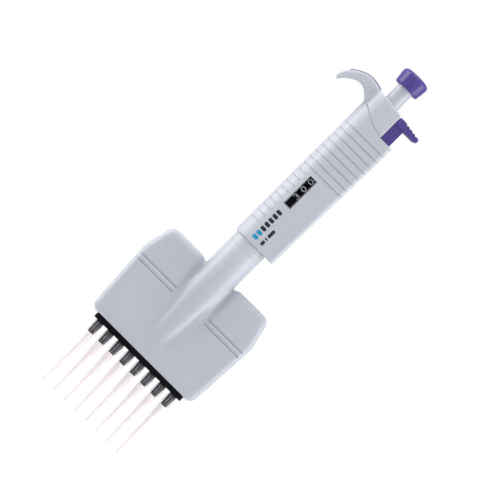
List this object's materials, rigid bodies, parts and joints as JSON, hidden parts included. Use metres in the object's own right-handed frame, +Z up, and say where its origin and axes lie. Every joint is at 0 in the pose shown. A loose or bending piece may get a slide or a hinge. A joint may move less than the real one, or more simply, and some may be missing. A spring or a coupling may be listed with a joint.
{
  "type": "multichannel pipette",
  "caption": "Mechanical multichannel pipette: grip with finger hook and volume display, plunger knob, tip ejector lever and a broad swivelling head with a row of disposable tips.",
  "frame": {"origin": "on the plunger's axis, in the plane of the tip openings", "axes": "+Z up along the plunger's axis towards the knob, +X along the row of tips towards the ejector lever, -Y out of the display"},
  "size_m": [0.091, 0.025, 0.2921],
  "materials": {
    "grip_plastic": "fine satin moulded plastic, pale lavender grey",
    "head_plastic": "fine satin moulded plastic, cool light grey",
    "neck_plastic": "satin moulded plastic, near white",
    "stem_plastic": "smooth light grey plastic",
    "purple_plastic": "semi-gloss violet plastic",
    "black_plastic": "black moulded plastic",
    "nozzle_plastic": "dark grey filled plastic",
    "tip_plastic": "thin translucent polypropylene",
    "clear_window": "clear polished plastic",
    "steel": "drawn stainless steel",
    "brass": "turned brass",
    "rubber": "black rubber"
  },
  "bodies": {
    "handle": {"grip_body": "grip_plastic", "top_cover": "grip_plastic", "hook_inlay": "purple_plastic", "display_bezel": "black_plastic", "display_lens": "clear_window", "counter_frame": "black_plastic", "counter_shaft": "steel", "plunger_guide": "black_plastic", "screw_nut": "brass", "blowout_spring": "steel", "return_spring": "steel", "ejector_spring": "steel"},
    "plunger": {"spring_seat": "black_plastic"},
    "volume_knob": {"knob": "purple_plastic", "knob_cap": "purple_plastic", "plunger_stem": "stem_plastic", "drive_rod": "steel"},
    "units_drive": {"drive_sleeve": "black_plastic", "units_wheel": "black_plastic"},
    "tens": {"tens_wheel": "black_plastic"},
    "hundreds": {"hundreds_wheel": "black_plastic"},
    "tens_carry": {"carry_pinion_tens": "stem_plastic"},
    "hundreds_carry": {"carry_pinion_hundreds": "stem_plastic"},
    "stop": {"volume_stop": "stem_plastic"},
    "ejector": {"ejector_button": "purple_plastic", "ejector_rod": "steel"},
    "head": {"head_front_shell": "head_plastic", "head_rear_shell": "head_plastic", "neck_collar": "neck_plastic", "retaining_ring": "steel", "cylinder_block": "black_plastic", "seal_plate": "steel", "piston_seals": "rubber", "nozzle_orings": "rubber", "head_screws": "steel", "nozzle_1": "nozzle_plastic", "nozzle_2": "nozzle_plastic", "nozzle_3": "nozzle_plastic", "nozzle_4": "nozzle_plastic", "nozzle_5": "nozzle_plastic", "nozzle_6": "nozzle_plastic", "nozzle_7": "nozzle_plastic", "nozzle_8": "nozzle_plastic"},
    "ejector_bar": {"ejector_yoke": "steel", "ejector_plate": "black_plastic"},
    "piston_carriage": {"carriage_rod": "steel", "carriage_bar": "steel", "pistons": "steel"},
    "tip_1": {"tip_1": "tip_plastic"},
    "tip_2": {"tip_2": "tip_plastic"},
    "tip_3": {"tip_3": "tip_plastic"},
    "tip_4": {"tip_4": "tip_plastic"},
    "tip_5": {"tip_5": "tip_plastic"},
    "tip_6": {"tip_6": "tip_plastic"},
    "tip_7": {"tip_7": "tip_plastic"},
    "tip_8": {"tip_8": "tip_plastic"}
  },
  "joints": [
    {"name": "plunger_press", "type": "slide", "parent": "handle", "child": "plunger", "axis": [0, 0, -1], "range_m": [0, 0.0126], "stiffness_N_per_m": 600, "springref_m": -0.008, "deforming": ["return_spring"]},
    {"name": "volume_turn", "type": "hinge", "parent": "plunger", "child": "volume_knob", "pos_m": [0, 0, 0.28], "axis": [0, 0, 1], "range_deg": [-1800, 0]},
    {"name": "units_turn", "type": "hinge", "parent": "handle", "child": "units_drive", "pos_m": [0, 0, 0.2], "axis": [0, 0, 1], "range_deg": [-1800, 0]},
    {"name": "tens_turn", "type": "hinge", "parent": "handle", "child": "tens", "pos_m": [0, 0, 0.194], "axis": [0, 0, 1], "range_deg": [-900, 0]},
    {"name": "hundreds_turn", "type": "hinge", "parent": "handle", "child": "hundreds", "pos_m": [0, 0, 0.188], "axis": [0, 0, 1], "range_deg": [-90, 0]},
    {"name": "tens_carry_turn", "type": "hinge", "parent": "handle", "child": "tens_carry", "pos_m": [0.0092, 0.0077, 0.197], "axis": [0, 0, 1], "range_deg": [0, 4500]},
    {"name": "hundreds_carry_turn", "type": "hinge", "parent": "handle", "child": "hundreds_carry", "pos_m": [0.0092, 0.0077, 0.191], "axis": [0, 0, 1], "range_deg": [0, 450]},
    {"name": "stop_travel", "type": "slide", "parent": "handle", "child": "stop", "axis": [0, 0, -1], "range_m": [0, 0.00885]},
    {"name": "ejector_press", "type": "slide", "parent": "handle", "child": "ejector", "axis": [0, 0, -1], "range_m": [0, 0.009], "stiffness_N_per_m": 500, "springref_m": -0.006, "deforming": ["ejector_spring"]},
    {"name": "head_swivel", "type": "hinge", "parent": "handle", "child": "head", "pos_m": [0, 0, 0.145], "axis": [0, 0, 1], "continuous": true},
    {"name": "ejector_bar_slide", "type": "slide", "parent": "head", "child": "ejector_bar", "axis": [0, 0, -1], "range_m": [0, 0.009]},
    {"name": "piston_stroke", "type": "slide", "parent": "head", "child": "piston_carriage", "axis": [0, 0, -1], "range_m": [0, 0.0126]},
    {"name": "tip_1_release", "type": "slide", "parent": "head", "child": "tip_1", "axis": [0, 0, -1], "range_m": [0, 0.009]},
    {"name": "tip_2_release", "type": "slide", "parent": "head", "child": "tip_2", "axis": [0, 0, -1], "range_m": [0, 0.009]},
    {"name": "tip_3_release", "type": "slide", "parent": "head", "child": "tip_3", "axis": [0, 0, -1], "range_m": [0, 0.009]},
    {"name": "tip_4_release", "type": "slide", "parent": "head", "child": "tip_4", "axis": [0, 0, -1], "range_m": [0, 0.009]},
    {"name": "tip_5_release", "type": "slide", "parent": "head", "child": "tip_5", "axis": [0, 0, -1], "range_m": [0, 0.009]},
    {"name": "tip_6_release", "type": "slide", "parent": "head", "child": "tip_6", "axis": [0, 0, -1], "range_m": [0, 0.009]},
    {"name": "tip_7_release", "type": "slide", "parent": "head", "child": "tip_7", "axis": [0, 0, -1], "range_m": [0, 0.009]},
    {"name": "tip_8_release", "type": "slide", "parent": "head", "child": "tip_8", "axis": [0, 0, -1], "range_m": [0, 0.009]}
  ],
  "couplings": [
    {"joint": "units_turn", "follows": "volume_turn", "ratio": 1},
    {"joint": "tens_turn", "follows": "volume_turn", "ratio": 0.5},
    {"joint": "hundreds_turn", "follows": "volume_turn", "ratio": 0.05},
    {"joint": "tens_carry_turn", "follows": "volume_turn", "ratio": -2.5},
    {"joint": "hundreds_carry_turn", "follows": "volume_turn", "ratio": -0.25},
    {"joint": "stop_travel", "follows": "volume_turn", "m_per_rad": -0.0002815},
    {"joint": "ejector_bar_slide", "follows": "ejector_press", "ratio": 1},
    {"joint": "piston_stroke", "follows": "plunger_press", "ratio": 1},
    {"joint": "tip_1_release", "follows": "ejector_press", "ratio": 1},
    {"joint": "tip_2_release", "follows": "ejector_press", "ratio": 1},
    {"joint": "tip_3_release", "follows": "ejector_press", "ratio": 1},
    {"joint": "tip_4_release", "follows": "ejector_press", "ratio": 1},
    {"joint": "tip_5_release", "follows": "ejector_press", "ratio": 1},
    {"joint": "tip_6_release", "follows": "ejector_press", "ratio": 1},
    {"joint": "tip_7_release", "follows": "ejector_press", "ratio": 1},
    {"joint": "tip_8_release", "follows": "ejector_press", "ratio": 1}
  ]
}
